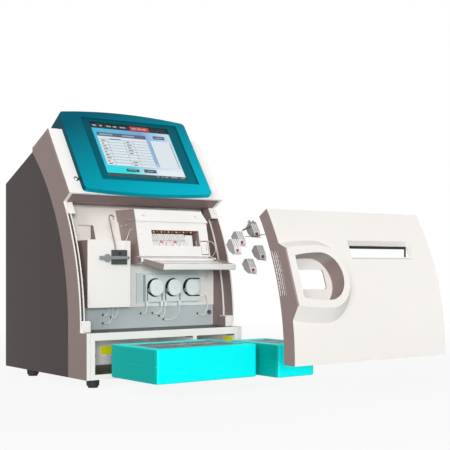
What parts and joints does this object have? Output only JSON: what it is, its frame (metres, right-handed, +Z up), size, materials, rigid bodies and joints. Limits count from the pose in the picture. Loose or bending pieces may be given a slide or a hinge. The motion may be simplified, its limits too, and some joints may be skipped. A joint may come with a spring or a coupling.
{
  "type": "blood gas analyzer",
  "caption": "Bench blood gas analyzer drawn apart: touch-screen head, open compartment with sampler, sensor module and roller pumps, reagent packs, loose sensors, taken-off cover.",
  "frame": {"origin": "centre of the underside of the base tray; the feet's soles lie 17 mm below it", "axes": "+X to the right seen from the front, +Y to the back, +Z up"},
  "size_m": [0.561, 0.8598, 0.6015],
  "materials": {
    "cream": "satin moulded plastic",
    "taupe": "satin moulded plastic",
    "dark_panel": "fine textured paint",
    "teal": "semi-gloss moulded plastic",
    "cyan": "semi-gloss moulded plastic",
    "grey_panel": "satin",
    "dark_trim": "satin",
    "black": "satin",
    "rubber": "matte",
    "sheet": "brushed sheet",
    "board": "solder mask",
    "contacts": "plated",
    "steel": "brushed",
    "clear_grey": "translucent grey",
    "tube": "clear flexible tube",
    "glass": "clear",
    "screen": "lit panel"
  },
  "bodies": {
    "housing": {"left_cheek": "cream", "right_cheek": "cream", "left_side_panel": "dark_panel", "right_side_panel": "dark_panel", "base_tray": "dark_panel", "feet": "rubber", "base_frame": "cream", "pack_latches": "black", "ledge": "dark_trim", "fluidics_panel": "grey_panel", "inner_panel": "cream", "left_trim": "cream", "right_trim": "cream", "head_housing": "cream", "head_soffit": "taupe", "top_cover": "dark_panel", "back_panel": "sheet", "power_inlet": "black", "switch_frame": "black", "display_housing": "teal", "touch_glass": "glass", "display_panel": "screen", "power_supply": "sheet", "main_board": "board", "cooling_fan": "black", "sampler_housing": "cream", "port_block": "dark_trim", "sample_tube": "steel", "module_body": "taupe", "module_frame": "cream", "module_cap": "cream", "contact_board": "contacts", "seated_sensors": "clear_grey", "hinge_pin": "steel", "pump_plate": "grey_panel", "pump_motors": "sheet", "pump_hoses": "tube", "fluid_tubes": "tube", "waste_tubes": "tube"},
    "front_cover": {"cover_shell": "cream", "cover_port_cup": "cream", "cover_window_frame": "cream", "cover_louvres": "cream"},
    "wide_pack": {"wide_pack_tray": "cyan", "wide_pack_lid": "cyan"},
    "narrow_pack": {"narrow_pack_tray": "cyan", "narrow_pack_lid": "cyan"},
    "module_door": {"module_door": "cream"},
    "module_latch": {"module_latch": "cream"},
    "sampler_lever": {"sampler_lever": "dark_trim"},
    "fan_rotor": {"fan_rotor": "black"},
    "power_switch": {"power_switch": "black"},
    "pump_rotor_1": {"pump_rotor_1": "grey_panel"},
    "pump_rotor_2": {"pump_rotor_2": "grey_panel"},
    "pump_rotor_3": {"pump_rotor_3": "grey_panel"},
    "loose_sensor_1": {"loose_sensor_1": "clear_grey"},
    "loose_sensor_2": {"loose_sensor_2": "clear_grey"},
    "loose_sensor_3": {"loose_sensor_3": "clear_grey"},
    "loose_sensor_4": {"loose_sensor_4": "clear_grey"},
    "loose_sensor_5": {"loose_sensor_5": "clear_grey"}
  },
  "joints": [
    {"name": "front_cover_pull", "type": "slide", "parent": "housing", "child": "front_cover", "axis": [-0.3314, 0.9397, 0.0844], "range_m": [0, 0.14]},
    {"name": "wide_pack_slide", "type": "slide", "parent": "housing", "child": "wide_pack", "axis": [0, 1, 0], "range_m": [0, 0.229]},
    {"name": "narrow_pack_slide", "type": "slide", "parent": "housing", "child": "narrow_pack", "axis": [0, 1, 0], "range_m": [0, 0.275]},
    {"name": "module_door_hinge", "type": "hinge", "parent": "housing", "child": "module_door", "pos_m": [0.05, -0.158, 0.247], "axis": [-1, 0, 0], "range_deg": [0, 112]},
    {"name": "module_latch_press", "type": "hinge", "parent": "housing", "child": "module_latch", "pos_m": [0.1325, -0.1409, 0.2645], "axis": [1, 0, 0], "range_deg": [-30, 0], "stiffness_Nm_per_rad": 0.02},
    {"name": "sampler_lever_turn", "type": "hinge", "parent": "housing", "child": "sampler_lever", "pos_m": [-0.13, -0.155, 0.251], "axis": [0, -1, 0], "range_deg": [0, 60]},
    {"name": "fan_spin", "type": "hinge", "parent": "housing", "child": "fan_rotor", "pos_m": [-0.11, 0.17, 0.3], "axis": [0, 1, 0], "continuous": true},
    {"name": "power_switch_rock", "type": "hinge", "parent": "housing", "child": "power_switch", "pos_m": [0.13, 0.1895, 0.11], "axis": [1, 0, 0], "range_deg": [0, 16]},
    {"name": "pump_1_spin", "type": "hinge", "parent": "housing", "child": "pump_rotor_1", "pos_m": [0.019, -0.11, 0.1855], "axis": [0, 1, 0], "continuous": true},
    {"name": "pump_2_spin", "type": "hinge", "parent": "housing", "child": "pump_rotor_2", "pos_m": [0.0675, -0.11, 0.1855], "axis": [0, 1, 0], "continuous": true},
    {"name": "pump_3_spin", "type": "hinge", "parent": "housing", "child": "pump_rotor_3", "pos_m": [0.116, -0.11, 0.1855], "axis": [0, 1, 0], "continuous": true},
    {"name": "loose_sensor_1_push", "type": "slide", "parent": "housing", "child": "loose_sensor_1", "axis": [0, 1, 0], "range_m": [0, 0.1]},
    {"name": "loose_sensor_2_push", "type": "slide", "parent": "housing", "child": "loose_sensor_2", "axis": [0, 1, 0], "range_m": [0, 0.1]},
    {"name": "loose_sensor_3_push", "type": "slide", "parent": "housing", "child": "loose_sensor_3", "axis": [0, 1, 0], "range_m": [0, 0.1]},
    {"name": "loose_sensor_4_push", "type": "slide", "parent": "housing", "child": "loose_sensor_4", "axis": [0, 1, 0], "range_m": [0, 0.1]},
    {"name": "loose_sensor_5_push", "type": "slide", "parent": "housing", "child": "loose_sensor_5", "axis": [0, 1, 0], "range_m": [0, 0.1]}
  ]
}
